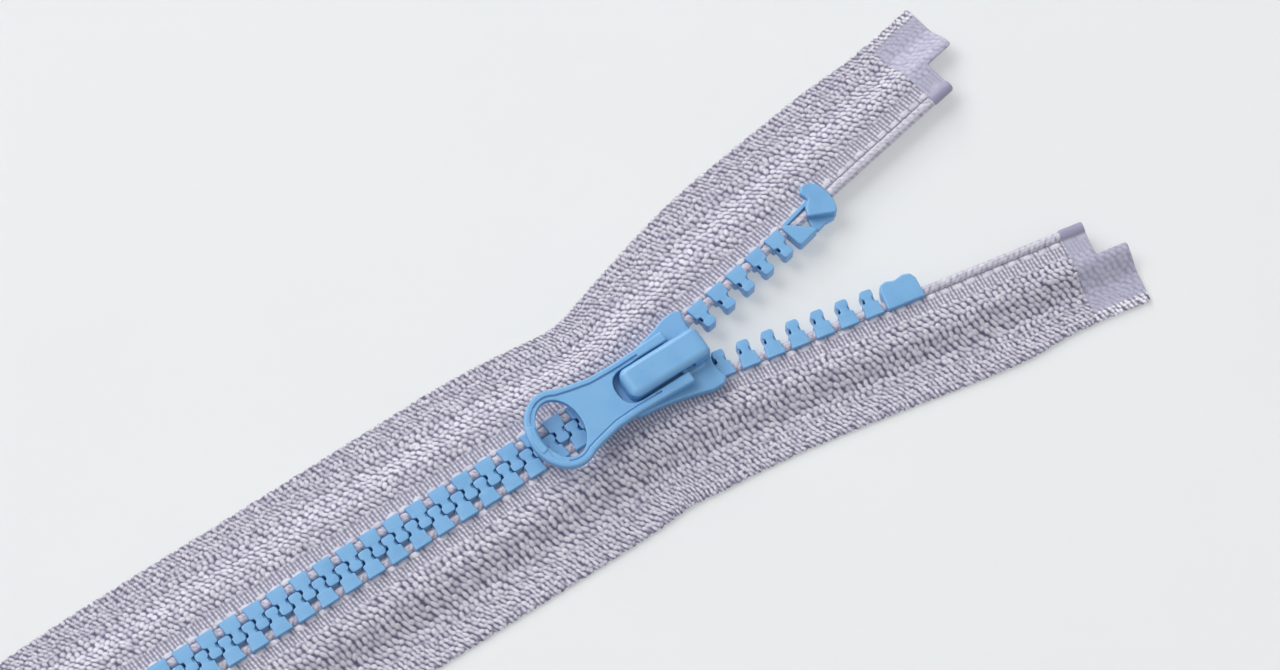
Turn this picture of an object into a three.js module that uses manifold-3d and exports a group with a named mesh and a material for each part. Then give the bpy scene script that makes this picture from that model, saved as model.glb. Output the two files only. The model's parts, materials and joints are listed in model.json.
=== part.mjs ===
// A moulded-tooth separating zipper, part open: two woven tapes with a bead cord on the inner
// edge, plastic teeth moulded on the cords, a locking slider with its pull, top stops, fused
// tape ends, and the pins and box of the separating bottom end.
// Millimetres. +X runs along the chain towards the open end, +Y is the left tape, +Z is up.
import * as THREE from 'three';
import * as BufferGeometryUtils from 'three/addons/utils/BufferGeometryUtils.js';
import Module from 'manifold-3d';

const wasm = await Module();
wasm.setup();

// ---------------------------------------------------------------- driving dimensions
const PITCH = 3.7;                 // one tooth to the next on the same tape
const CHAIN_HALF = 2.95;           // half of the 5.9 mm width of a No. 5 closed chain
const CORD_Y = 2.0;                // centre of each bead cord from the chain's centre line
const CORD_R = 0.5;
const CORD_HOLE_R = 0.8;           // passage for the cord through a tooth
const GAP = 0.3;                   // clearance between pieces that touch on the real zipper
const TOOTH_Z = [1.15, 3.65];      // underside and top of every tooth
const MID_Z = 2.4;                 // height of the tape's edge and of the cord
const CLOSED_TEETH = 26;           // on each tape behind the slider
const STEPS = 6;                   // teeth on each tape that the slider can still close
const LEFT_TOP_TEETH = 3;          // teeth beyond those, before the left top stop
const RIGHT_TOP_TEETH = 4;         // the same before the right top stop
const SPREAD = 0.18;               // radians that each free row turns out from the chain
const STROKE = STEPS * PITCH;      // travel of the slider
const TAPE_T = 0.6;
const TAPE_EDGE = 1.25;            // tape's inner edge, outwards from the cord
const TAPE_LEVEL = 4.8;            // where the tape starts to slope to the ground
const TAPE_FLOOR = 8.8;            // where it lies on the ground again
const TAPE_OUTER = 13.0;           // the selvedge
const TAPE_CUT = 0.2;              // half the gap between two lengths of tape

const NOSE_X = 16.0;               // front of the slider
const REAR_X = 2.0;                // back of the slider
const PLATE_T = 0.9;
const BODY_TOP = 4.8;
const FLANGE_LOW_TOP = 1.85;       // top of the lower flange, under the tape
const FLANGE_HIGH_BOTTOM = 2.95;   // underside of the upper flange, over the tape
const PIVOT_X = 11.2;              // crossbar of the pull
const PIVOT_Z = 5.8;
const BAR_R = 0.45;
const PULL_T = 1.5;
const COVER_X = [2.9, 15.1];
const COVER_HALF = 2.3;
const COVER_TOP = 7.8;
const CEILING = 7.15;              // inside of the cover's roof
const COVER_BEVEL = 0.7;
const COVER_WALL = 0.6;

const PLASTIC = { color: 0x7fb2dd, roughness: 0.38, metalness: 0.0 };
const TAPE = { color: 0xb9b3c6, roughness: 0.9, metalness: 0.0 };
const CORD = { color: 0xd5d0dc, roughness: 0.85, metalness: 0.0 };
const FILM = { color: 0xaaa7c0, roughness: 0.45, metalness: 0.0 };
const METAL = { color: 0xb8bcc2, roughness: 0.3, metalness: 1.0 };

// ---------------------------------------------------------------- geometry helpers
const toShape = points => new THREE.Shape(points.map(([a, b]) => new THREE.Vector2(a, b)));

// A plan outline raised from z0 to z1.
function prism(points, [z0, z1], holes = []) {
  const shape = toShape(points);
  holes.forEach(hole => shape.holes.push(toShape(hole)));
  const geometry = new THREE.ExtrudeGeometry(shape, { depth: z1 - z0, bevelEnabled: false });
  return geometry.translate(0, 0, z0);
}

// A section in (y, z) drawn out along x.
function alongX(points, [x0, x1]) {
  const geometry = new THREE.ExtrudeGeometry(toShape(points), { depth: x1 - x0, bevelEnabled: false });
  const turn = new THREE.Matrix4().set(0, 0, 1, x0, 1, 0, 0, 0, 0, 1, 0, 0, 0, 0, 0, 1);
  return geometry.applyMatrix4(turn);
}

// A section in (x, z) drawn out along y, centred on y = 0.
function acrossY(points, halfWidth) {
  const geometry = new THREE.ExtrudeGeometry(toShape(points), { depth: 2 * halfWidth, bevelEnabled: false });
  const turn = new THREE.Matrix4().set(1, 0, 0, 0, 0, 0, -1, halfWidth, 0, 1, 0, 0, 0, 0, 0, 1);
  return geometry.applyMatrix4(turn);
}

function block([x0, x1], [y0, y1], [z0, z1]) {
  const geometry = new THREE.BoxGeometry(x1 - x0, y1 - y0, z1 - z0);
  return geometry.translate((x0 + x1) / 2, (y0 + y1) / 2, (z0 + z1) / 2);
}

function rodX(radius, [x0, x1], y, z, sides = 8) {
  const geometry = new THREE.CylinderGeometry(radius, radius, x1 - x0, sides);
  geometry.rotateY(Math.PI / sides);
  geometry.rotateZ(Math.PI / 2);
  return geometry.translate((x0 + x1) / 2, y, z);
}

function toSolid(geometry) {
  const bare = geometry.clone();
  bare.deleteAttribute('normal');
  bare.deleteAttribute('uv');
  const merged = BufferGeometryUtils.mergeVertices(bare, 1e-4);
  return new wasm.Manifold(new wasm.Mesh({
    numProp: 3,
    vertProperties: new Float32Array(merged.attributes.position.array),
    triVerts: new Uint32Array(merged.index.array),
  }));
}

function toGeometry(solid) {
  const mesh = solid.getMesh();
  const geometry = new THREE.BufferGeometry();
  geometry.setAttribute('position', new THREE.BufferAttribute(new Float32Array(mesh.vertProperties), 3));
  geometry.setIndex(new THREE.BufferAttribute(new Uint32Array(mesh.triVerts), 1));
  geometry.computeVertexNormals();
  return geometry;
}

const joined = parts => parts.map(toSolid).reduce((a, b) => a.add(b));
const carved = (solid, cuts) => cuts.map(toSolid).reduce((a, b) => a.subtract(b), solid);

function named(name, geometry, look) {
  const mesh = new THREE.Mesh(geometry, new THREE.MeshStandardMaterial(look));
  mesh.name = name;
  return mesh;
}

// ---------------------------------------------------------------- one stringer's pieces
// In a row's own frame x runs along the row from its hinge and the cord lies on y = 0.
// side is +1 for the left tape and -1 for the right one, whose pieces are mirrored.
const TOOTH_HALF_OUTLINE = [       // outwards from the cord, half width along the row
  [CHAIN_HALF - CORD_Y, 1.4],
  [-1.02, 1.1],
  [-1.34, 0.64],
  [-1.8, 0.62],
  [-2.3, 1.06],
  [-2.62, 1.04],
  [-2.98, 0.55],
];

const HEAD_STARTS = -2.0;
// The first tooth of each free row passes its opposite just where the straight rows part. A real
// row bends and fans its heads there, so this tooth's head is slimmer instead.
const PASSING_HEAD = 0.8;

function toothOutline(x, side, headWidth = 1) {
  const sized = TOOTH_HALF_OUTLINE.map(([out, half]) => [out, out < HEAD_STARTS ? half * headWidth : half]);
  const front = sized.map(([out, half]) => [x + half, side * out]);
  const back = sized.map(([out, half]) => [x - half, side * out]).reverse();
  return [...front, ...back];
}

function looseTooth(x, side, headWidth = 1) {
  const solid = toSolid(prism(toothOutline(x, side, headWidth), TOOTH_Z));
  return toGeometry(carved(solid, [rodX(CORD_HOLE_R, [x - 3, x + 3], 0, MID_Z)]));
}

// Section of the tape: level beside the teeth, then down to the ground and flat on it.
function tapeSection(side, inner, thickness = TAPE_T) {
  const low = MID_Z - TAPE_T / 2;
  const bottom = [[inner, low], [TAPE_LEVEL, low], [TAPE_FLOOR, 0], [TAPE_OUTER, 0]];
  const top = bottom.map(([out, z]) => [out, z + thickness]).reverse();
  return [...bottom, ...top].map(([out, z]) => [side * out, z]);
}

// A length of tape whose ends lean back or forwards by slope millimetres for each one outwards.
function tapeLength(side, [x0, x1], [slope0, slope1], inner = TAPE_EDGE) {
  const geometry = alongX(tapeSection(side, inner), [x0, x1]);
  const position = geometry.attributes.position;
  const middle = (x0 + x1) / 2;
  for (let i = 0; i < position.count; i += 1) {
    const slope = position.getX(i) < middle ? slope0 : slope1;
    position.setX(i, position.getX(i) + slope * Math.abs(position.getY(i)));
  }
  return geometry;
}

// Fused film over the cut end of a tape, longer on its outer part, as the step-cut end shows.
const FILM_T = 0.7;
const FILM_STEP_OUT = 4.3;         // the step, outwards from the cord
const FILM_SHORT = 3.6;
const FILM_LONG = 8.2;
function topFilm(side, x) {
  const slab = toSolid(alongX(tapeSection(side, TAPE_EDGE, FILM_T), [x, x + FILM_LONG]));
  const notch = block([x + FILM_SHORT, x + FILM_LONG + 1], [-1, 1].map(end => FILM_STEP_OUT * end), [-1, 5]);
  return toGeometry(carved(slab, [notch]));
}

// ---------------------------------------------------------------- top stops
const LEFT_STOP_LONG = 8.05;
const LEFT_STOP_OUTLINE = [        // along the row from the stop's start, outwards from the cord
  [0, 0.95], [0.15, -2.4], [0.9, -2.95], [4.0, -2.95], [5.2, -2.6], [6.3, -2.95], [7.3, -2.2],
  [8.05, -0.5], [7.9, 1.0], [7.3, 2.5], [6.4, 3.0], [5.5, 2.8], [5.05, 2.0], [5.3, 1.3], [4.4, 0.95],
];
const RIGHT_STOP_LONG = 5.8;
const STOP_AFTER_TOOTH = 1.9;      // from the last tooth's centre to the start of the stop
const RIGHT_STOP_OUTLINE = [
  [0, 0.95], [0.1, -1.6], [0.5, -2.7], [1.3, -3.0], [2.4, -2.8], [3.8, -3.1], [4.9, -2.85],
  [5.35, -2.1], [5.8, 0.95],
];

const TAPE_SLOT_OUT = [1.0, 4.0];  // the slit that the tape lies in, outwards from the cord

function stopBlank(outline, x, side, long) {
  const plan = outline.map(([along, out]) => [x + along, side * out]);
  const tapeSlot = [MID_Z - TAPE_T / 2 - GAP, MID_Z + TAPE_T / 2 + GAP];
  const slotY = TAPE_SLOT_OUT.map(out => side * out).sort((a, b) => a - b);
  return carved(toSolid(prism(plan, TOOTH_Z)), [
    rodX(CORD_HOLE_R, [x - 1, x + long + 1], 0, MID_Z),
    block([x - 1, x + long + 1], slotY, tapeSlot),
  ]);
}

// Hooked stop: a wedge and a beaked head with a slanted groove that takes the last opposite tooth.
function leftTopStop(x, side) {
  const groove = [[3.2, -0.25], [3.45, 0.05], [6.25, -2.2], [6.0, -2.6]];
  const window = [[0.9, 0.45], [2.2, -0.5], [3.0, -0.1], [3.2, 0.4]];
  const place = points => points.map(([along, out]) => [x + along, side * out]);
  return toGeometry(carved(stopBlank(LEFT_STOP_OUTLINE, x, side, LEFT_STOP_LONG), [
    prism(place(groove), [3.0, 4.0]),
    prism(place(window), [0, 5]),
  ]));
}

const rightTopStop = (x, side) => toGeometry(stopBlank(RIGHT_STOP_OUTLINE, x, side, RIGHT_STOP_LONG));

// ---------------------------------------------------------------- the two stringers
const FIRST_HINGE = { left: 0.5 * PITCH, right: PITCH };   // both lie between two teeth
const LEAN = Math.tan(SPREAD / 2);                         // the tapes meet on the angle's bisector
const FILM_AFTER_STOP = 20.5;                              // bare tape from the stop to the film

// The closed length: a row of teeth on its cord, the tape beside it and the fused bottom end.
const TAPE_BOTTOM_X = -96;
const BOTTOM_FILM_X = [-112, TAPE_BOTTOM_X - GAP];
const BOTTOM_FILM_EDGE = 2.2;      // stays clear of the retainer box
const CORD_PAST_TOOTH = 1.6;       // the cord ends just past the last tooth's centre

function closedStringer(name, side, look) {
  const hinge = FIRST_HINGE[name];
  const firstTooth = hinge - PITCH / 2;
  const group = new THREE.Group();
  group.position.y = side * CORD_Y;
  const cordEnd = firstTooth - (CLOSED_TEETH - 1) * PITCH - CORD_PAST_TOOTH;
  const pieces = [rodX(CORD_R, [cordEnd, hinge - TAPE_CUT], 0, MID_Z)];
  for (let i = 0; i < CLOSED_TEETH; i += 1) {
    pieces.push(prism(toothOutline(firstTooth - i * PITCH, side), TOOTH_Z));
  }
  group.add(named(`${name}_teeth_closed`, toGeometry(joined(pieces)), look.plastic));
  const tape = tapeLength(side, [TAPE_BOTTOM_X, hinge - TAPE_CUT], [0, -LEAN]);
  group.add(named(`${name}_tape_closed`, tape, look.tape));
  const film = alongX(tapeSection(side, BOTTOM_FILM_EDGE, FILM_T), BOTTOM_FILM_X);
  group.add(named(`${name}_bottom_film`, film, look.film));
  return group;
}

// The free length that the slider will close, then the length beyond it up to the tape's end.
function openStringer(name, side, topTeeth, stopLong, makeStop, look) {
  const free = new THREE.Group();
  free.position.set(FIRST_HINGE[name], side * CORD_Y, 0);
  free.rotation.z = side * SPREAD;
  const top = new THREE.Group();
  top.position.x = STROKE;
  free.add(top);
  const tape = tapeLength(side, [TAPE_CUT, STROKE - TAPE_CUT], [LEAN, -LEAN]);
  free.add(named(`${name}_tape_free`, tape, look.tape));
  free.add(named(`${name}_cord_free`, rodX(CORD_R, [TAPE_CUT, STROKE - TAPE_CUT], 0, MID_Z), look.cord));
  for (let i = 1; i <= STEPS; i += 1) {
    const headWidth = i === 1 ? PASSING_HEAD : 1;
    free.add(named(`${name}_tooth_${i}`, looseTooth((i - 0.5) * PITCH, side, headWidth), look.plastic));
  }
  for (let i = 1; i <= topTeeth; i += 1) {
    top.add(named(`${name}_tooth_${STEPS + i}`, looseTooth((i - 0.5) * PITCH, side), look.plastic));
  }
  const stopX = (topTeeth - 0.5) * PITCH + STOP_AFTER_TOOTH;
  top.add(named(`${name}_top_stop`, makeStop(stopX, side), look.plastic));
  const filmX = stopX + stopLong + FILM_AFTER_STOP;
  top.add(named(`${name}_cord_top`, rodX(CORD_R, [TAPE_CUT, filmX], 0, MID_Z), look.cord));
  const topTape = tapeLength(side, [TAPE_CUT, filmX], [LEAN, 0]);
  top.add(named(`${name}_tape_top`, topTape, look.tape));
  top.add(named(`${name}_top_film`, topFilm(side, filmX + GAP), look.film));
  return free;
}

// ---------------------------------------------------------------- separating bottom end
const PIN_Z = [1.3, 3.5];
const BOX_X = [-108.5, -101.5];
const BOX_HALF = 3.9;
const BOX_Z = [0.4, 4.4];
const BOX_CORNER = 0.8;
const SOCKET_HALF = 3.05;
const PIN_END_X = -107.5;
const PIN_NOSE = 0.7;
const PIN_Y = [0.25, 2.75];
const INSERTION_PIN_PLAN = [
  [PIN_END_X, PIN_Y[0] + PIN_NOSE], [PIN_END_X + PIN_NOSE, PIN_Y[0]], [-94.4, PIN_Y[0]],
  [-94.4, PIN_Y[1]], [PIN_END_X + PIN_NOSE, PIN_Y[1]], [PIN_END_X, PIN_Y[1] - PIN_NOSE],
];
// Narrower beside the left row's last tooth, which reaches past the centre line.
const RETAINER_PIN_PLAN = [
  [PIN_END_X, -PIN_Y[0] - PIN_NOSE], [PIN_END_X + PIN_NOSE, -PIN_Y[0]], [-94.4, -PIN_Y[0]],
  [-94.1, -1.3], [-92.6, -1.3], [-92.6, -PIN_Y[1]], [PIN_END_X + PIN_NOSE, -PIN_Y[1]],
  [PIN_END_X, -PIN_Y[1] + PIN_NOSE],
];

function bottomEnd(look) {
  const group = new THREE.Group();
  group.add(named('insertion_pin', prism(INSERTION_PIN_PLAN, PIN_Z), look.plastic));
  group.add(named('retainer_pin', prism(RETAINER_PIN_PLAN, PIN_Z), look.plastic));
  const shell = toSolid(prism([
    [BOX_X[0], -BOX_HALF + BOX_CORNER], [BOX_X[0] + BOX_CORNER, -BOX_HALF], [BOX_X[1], -BOX_HALF],
    [BOX_X[1], BOX_HALF], [BOX_X[0] + BOX_CORNER, BOX_HALF], [BOX_X[0], BOX_HALF - BOX_CORNER],
  ], BOX_Z));
  const socketZ = [PIN_Z[0] - GAP, PIN_Z[1] + GAP];
  const socket = block([PIN_END_X - GAP, BOX_X[1] + 1], [-SOCKET_HALF, SOCKET_HALF], socketZ);
  group.add(named('retainer_box', toGeometry(carved(shell, [socket])), look.plastic));
  return group;
}

// ---------------------------------------------------------------- slider
const WALL_FRONT_X = 14.7;
const WALL_REAR_X = 2.6;
const CHANNEL_CLEARANCE = 0.22;    // between the teeth and a flange at the slider's rear
const WEDGE = [[11.2, 0.1], [14.6, 0.8], [15.7, 0.7]];     // half width of the post that parts the rows
const PAWL_WINDOW_X = [5.3, 6.8];
const PAWL_WINDOW_HALF = 0.9;
const LOCK_ROOM_X = [4.0, 14.3];   // hollow under the cover
const BAR_GAP_X = [5.6, 12.4];     // openings in the cover's sides, where the crossbar turns
const BAR_GAP_TOP = 6.5;
const PAWL_HALF = 0.6;
const SPRING_HALF = 0.5;

// Half width of the plates along x, from the rear to the shoulders and round the mouth.
const PLATE_SIDE = [[REAR_X, 3.3], [2.6, 3.95], [5.0, 4.25], [8.0, 4.8], [11.0, 5.45], [13.3, 6.15], [14.7, 6.35]];
const MOUTH = [[15.4, 5.9], [15.0, 4.6], [14.7, 3.2], [15.3, 1.9], [NOSE_X, 1.2]];
const mirrorX = points => [...points, ...points.map(([x, y]) => [x, -y]).reverse()];
// Half width of the tooth channel between the flanges.
const channelHalf = x => CHAIN_HALF + CHANNEL_CLEARANCE + (x - FIRST_HINGE.left) * Math.sin(SPREAD);

function sliderBody() {
  const plate = mirrorX([...PLATE_SIDE, ...MOUTH]);
  const parts = [
    prism(plate, [0, PLATE_T]),
    prism(plate, [BODY_TOP - PLATE_T, BODY_TOP]),
    prism(mirrorX(WEDGE), [PLATE_T / 2, BODY_TOP - PLATE_T / 2]),
  ];
  for (const side of [1, -1]) {
    const outside = PLATE_SIDE.slice(1).map(([x, y]) => [x, side * y]);
    const inside = [WALL_FRONT_X, WALL_REAR_X].map(x => [x, side * channelHalf(x)]);
    const wall = [...outside, ...inside];
    parts.push(prism(wall, [PLATE_T / 2, FLANGE_LOW_TOP]));
    parts.push(prism(wall, [FLANGE_HIGH_BOTTOM, BODY_TOP - PLATE_T / 2]));
  }
  const windowZ = [FLANGE_HIGH_BOTTOM, COVER_TOP];
  const pawlWindow = block(PAWL_WINDOW_X, [-PAWL_WINDOW_HALF, PAWL_WINDOW_HALF], windowZ);
  return named('slider_body', toGeometry(carved(joined(parts), [pawlWindow])), PLASTIC);
}

// Hollow cover over the lock, open along both sides for the pull's crossbar.
function lockCover() {
  const half = COVER_HALF - COVER_BEVEL;
  const [x0, x1] = [COVER_X[0] + COVER_BEVEL, COVER_X[1] - COVER_BEVEL];
  const plan = mirrorX([[x0, half * 0.45], [x0 + 0.9, half], [x1 - 0.6, half], [x1, half * 0.6]]);
  const low = BODY_TOP - COVER_BEVEL;
  const shell = new THREE.ExtrudeGeometry(toShape(plan), {
    depth: COVER_TOP - COVER_BEVEL - low,
    bevelEnabled: true,
    bevelThickness: COVER_BEVEL,
    bevelSize: COVER_BEVEL,
    bevelSegments: 1,
  }).translate(0, 0, low);
  const inner = COVER_HALF - COVER_WALL;
  const allAcross = [-ARM_HALF, ARM_HALF];
  const cuts = [
    block([0, NOSE_X], allAcross, [0, BODY_TOP + 0.05]),
    block(LOCK_ROOM_X, [-inner, inner], [PLATE_T, CEILING]),
    block(BAR_GAP_X, allAcross, [PLATE_T, BAR_GAP_TOP]),
  ];
  return named('lock_cover', toGeometry(carved(toSolid(shell), cuts)), PLASTIC);
}

// Bent strip whose tip drops through the plate's window; it lifts as the pull is raised.
function lockPawl() {
  const section = [
    [13.9, 6.35], [13.9, 6.6], [6.4, 6.6], [5.75, 6.1], [5.75, 3.85], [6.2, 3.85], [6.2, 5.9], [6.7, 6.35],
  ];
  return named('lock_pawl', acrossY(section, PAWL_HALF), METAL);
}

function lockSpring() {
  const section = [[13.8, 6.92], [13.8, 7.07], [9.0, 6.92], [9.0, 6.77]];
  return named('lock_spring', acrossY(section, SPRING_HALF), METAL);
}

// ---------------------------------------------------------------- pull
const RING_X = -7.4;
const RING_OUTER = [4.9, 5.9];
const RING_HOLE = [3.15, 4.3];
const ARM_HALF = 4.6;
const SLOT_HALF = 3.1;
const SLOT_REAR_X = 1.7;
const ARM_FRONT_X = 11.7;

function ellipse([rx, ry], [from, to], count, x = RING_X) {
  return Array.from({ length: count + 1 }, (_, i) => {
    const angle = from + (to - from) * i / count;
    return [x + rx * Math.cos(angle), ry * Math.sin(angle)];
  });
}

function pullTab() {
  const ringArc = ellipse(RING_OUTER, [Math.PI, Math.PI * 0.36], 7);
  const outer = [
    ...ringArc, [-3.2, 4.85], [-0.6, 4.3], [2.2, 4.4], [5.0, ARM_HALF], [ARM_FRONT_X, ARM_HALF],
  ];
  const slot = [[ARM_FRONT_X, SLOT_HALF], [3.6, SLOT_HALF], [2.2, 2.3], [SLOT_REAR_X, 1.0]];
  const plan = [...outer, ...slot, ...mirrorX([...outer, ...slot]).slice(outer.length + slot.length, -1)];
  const hole = ellipse(RING_HOLE, [0, Math.PI * 2], 16).slice(0, -1);
  const blade = prism(plan, [PIVOT_Z - PULL_T / 2, PIVOT_Z + PULL_T / 2], [hole]);
  const bar = new THREE.CylinderGeometry(BAR_R, BAR_R, 2 * SLOT_HALF + 1, 10);
  bar.translate(PIVOT_X, 0, PIVOT_Z);
  return named('pull_tab', toGeometry(joined([blade, bar])), PLASTIC);
}

// ---------------------------------------------------------------- assembly
function zipper() {
  const look = { plastic: PLASTIC, tape: TAPE, cord: CORD, film: FILM };
  const root = new THREE.Group();
  root.add(closedStringer('left', 1, look));
  root.add(closedStringer('right', -1, look));
  root.add(openStringer('left', 1, LEFT_TOP_TEETH, LEFT_STOP_LONG, leftTopStop, look));
  root.add(openStringer('right', -1, RIGHT_TOP_TEETH, RIGHT_STOP_LONG, rightTopStop, look));
  root.add(bottomEnd(look));
  root.add(sliderBody(), lockCover(), lockPawl(), lockSpring(), pullTab());
  return root;
}

// The origin is the centre of the whole object's footprint, on the ground.
const whole = zipper();
whole.updateMatrixWorld(true);
const extent = new THREE.Box3().setFromObject(whole, true);
whole.position.set(-(extent.min.x + extent.max.x) / 2, -(extent.min.y + extent.max.y) / 2, -extent.min.z);
const part = new THREE.Group();
part.add(whole);

export default part;
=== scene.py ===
import json
import math

import bmesh
import bpy
import numpy as np
from mathutils import Matrix, Vector


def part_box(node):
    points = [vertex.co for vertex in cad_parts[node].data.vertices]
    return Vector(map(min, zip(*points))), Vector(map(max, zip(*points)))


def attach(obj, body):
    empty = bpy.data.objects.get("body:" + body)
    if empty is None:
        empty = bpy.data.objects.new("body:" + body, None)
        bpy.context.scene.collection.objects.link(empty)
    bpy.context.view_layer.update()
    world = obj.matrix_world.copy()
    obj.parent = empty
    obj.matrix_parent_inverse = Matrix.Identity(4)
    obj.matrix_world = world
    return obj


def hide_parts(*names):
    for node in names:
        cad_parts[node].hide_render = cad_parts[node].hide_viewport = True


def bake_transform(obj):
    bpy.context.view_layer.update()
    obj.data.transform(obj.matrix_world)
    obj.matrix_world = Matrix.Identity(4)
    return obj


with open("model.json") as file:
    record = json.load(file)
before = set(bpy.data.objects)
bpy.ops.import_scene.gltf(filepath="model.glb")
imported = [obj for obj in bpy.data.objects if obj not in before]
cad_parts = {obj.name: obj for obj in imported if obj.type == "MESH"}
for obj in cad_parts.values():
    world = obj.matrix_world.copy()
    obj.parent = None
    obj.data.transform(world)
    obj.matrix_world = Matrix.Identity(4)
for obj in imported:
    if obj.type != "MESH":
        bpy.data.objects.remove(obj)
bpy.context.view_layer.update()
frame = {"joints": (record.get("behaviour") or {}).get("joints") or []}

# Part-open separating zipper. Shapes are made in millimetres, in the row frame, and scaled to
# metres at the end. +X runs along the chain to the open end, +Y is the left tape, +Z is up.
MM = 0.001

# ------------------------------------------------------------------ driving dimensions
PITCH = 3.7
CLOSED_TEETH = 26
FREE_TEETH = 6
TOP_TEETH = {"left": 3, "right": 4}
MID_Z = 2.4                    # height of the cord and of the tape's inner edge
TOOTH_LOW, TOOTH_HIGH = 1.15, 3.65
BEND_HALF = 7.0                # half of the length over which a tape bends at a hinge

TAPE_T = 0.42                  # thickness between the faces' hollows
TAPE_INNER, TAPE_OUTER = 0.35, 13.0
TAPE_LEVEL, TAPE_FLOOR = 4.8, 8.8
BORDER = 12.0                  # the braided border runs from here to the outer edge
TAPE_UNDER_FILM = 0.35         # how far the tape reaches under the film at the bottom end
EDGE_LOW = 2.14                # underside of the tape beside the teeth
STITCH_END, RIB_END, COARSE_END = 1.78, 3.1, 9.4

REAR_X = 2.0                   # the slider's rear end in its own frame
PLATE_T = 0.9
BODY_TOP = 4.8
COVER_TOP = 7.8
COVER_HALF = 2.3
COVER_REAR, COVER_FRONT = 2.9, 15.7
CHANNEL_REAR_X, CHANNEL_REAR_HALF = 1.85, 3.17     # where the tooth channel is narrowest
PIVOT_X, PIVOT_Z = 11.2, 5.8
PULL_T = 1.5
RING_X = -7.4

SHARP_ANGLE = 40               # degrees between faces that still shade as a crisp edge


# ------------------------------------------------------------------ places read from the frame
def joint_point(name):
    joint = next(j for j in frame["joints"] if j["name"] == name)
    return np.array(joint["pos_m"], float) / MM


def node_box(name):
    low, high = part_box(name)
    return np.array(low) / MM, np.array(high) / MM


slider_low, slider_high = node_box("slider_body")
ZERO_X = slider_low[0] - REAR_X
CHAIN_Y = (slider_low[1] + slider_high[1]) / 2


def smooth_step(t):
    t = np.clip(t, 0.0, 1.0)
    return t * t * (3 - 2 * t)


# The loose outer part of each tape lies wider or narrower than flat: (length along the row, spread).
DRAPE = {
    "left": [(-99, -0.3), (-84, 0.8), (-16, 1.1), (0, -0.7), (12, 0.8), (25, 2.2), (44, 1.3), (66, 0.0)],
    "right": [(-101, -0.2), (-62, 2.6), (-10, 2.9), (2, 2.5), (16, 1.1), (34, 1.1), (50, 1.4), (70, 0.0)],
}
DRAPE_INNER = 3.0              # the cloth keeps its place up to here
DRAPE_EASE = (-6, -3, 0, 3, 6) # the spread is averaged over these shifts along the row
DRAPE_END = 12                 # and dies away over this length before the film


class Stringer:
    """One tape's line: lengths run along the bead cord from the first hinge, and out from it."""

    def __init__(self, name, side):
        self.name = name
        self.side = side
        self.hinge = joint_point(f"{name}_free_turn")
        self.second = joint_point(f"{name}_top_turn")
        run = self.second - self.hinge
        self.stroke = math.hypot(run[0], run[1])
        self.spread = abs(math.atan2(run[1], run[0]))
        self.chain, self.free, self.top = "chain", f"free_{name}", f"top_{name}"

    def place(self, along, out, z, share):
        """Points in the common frame; share is how much of the row's opening turn they have."""
        turn = self.spread * share
        x = self.hinge[0] + along * np.cos(turn) - out * np.sin(turn)
        y = self.hinge[1] + self.side * (along * np.sin(turn) + out * np.cos(turn))
        return np.stack([x, y, z + 0 * x], axis=-1)

    def drape(self, along, out):
        """How far outwards the loose cloth is spread."""
        places, spreads = zip(*DRAPE[self.name])
        near = [np.interp(along + shift, places, spreads) for shift in DRAPE_EASE]
        return np.mean(near, axis=0) * np.clip((out - DRAPE_INNER) / (TAPE_OUTER - DRAPE_INNER), 0, None)

    def laid(self, along, out, z):
        """Points on the cloth, which bends softly at the first hinge."""
        return self.place(along, out, z, smooth_step((along + BEND_HALF) / (2 * BEND_HALF)))

    def rigid(self, points, opened):
        """Points of a moulding, (along, out, z), on the closed or the open row."""
        points = np.asarray(points, float)
        return self.place(points[:, 0], points[:, 1], points[:, 2], 1.0 if opened else 0.0)

    def bend(self, piece, upper):
        """Bakes the piece's place into its mesh; upper is not used."""
        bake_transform(piece)


LEFT = Stringer("left", 1)
RIGHT = Stringer("right", -1)
STRINGERS = (LEFT, RIGHT)


# ------------------------------------------------------------------ mesh tools
def new_mesh(points, faces):
    mesh = bpy.data.meshes.new("shape")
    mesh.from_pydata([tuple(p) for p in points], [], [tuple(f) for f in faces])
    mesh.update()
    return mesh


def points_of(mesh):
    flat = np.empty(len(mesh.vertices) * 3)
    mesh.vertices.foreach_get("co", flat)
    return flat.reshape(-1, 3)


def set_points(mesh, points):
    mesh.vertices.foreach_set("co", np.asarray(points, float).ravel())
    mesh.update()
    return mesh


def evaluated(data, build=None):
    """The mesh of a curve or mesh, after any modifiers that build(object) adds."""
    holder = bpy.data.objects.new("holder", data)
    bpy.context.scene.collection.objects.link(holder)
    helpers = (build(holder) if build else None) or []
    bpy.context.view_layer.update()
    graph = bpy.context.evaluated_depsgraph_get()
    result = bpy.data.meshes.new_from_object(holder.evaluated_get(graph))
    for helper in [holder, *helpers]:
        bpy.data.objects.remove(helper)
    return result


def rounded(corners, steps=5):
    """A closed outline whose corners, given as (x, y, radius), are eased into curves."""
    outline = []
    count = len(corners)
    for i, (x, y, radius) in enumerate(corners):
        corner = np.array([x, y])
        back = np.array(corners[i - 1][:2]) - corner
        ahead = np.array(corners[(i + 1) % count][:2]) - corner
        reach_back, reach_ahead = np.linalg.norm(back), np.linalg.norm(ahead)
        back, ahead = back / reach_back, ahead / reach_ahead
        half = math.acos(max(-1.0, min(1.0, float(back @ ahead)))) / 2
        cut = min(radius / math.tan(half), 0.49 * reach_back, 0.49 * reach_ahead)
        if cut < 0.01:
            outline.append(corner)
            continue
        for step in range(steps + 1):
            t = step / steps
            start, end = corner + back * cut, corner + ahead * cut
            outline.append((1 - t) ** 2 * start + 2 * t * (1 - t) * corner + t * t * end)
    return outline


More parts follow.
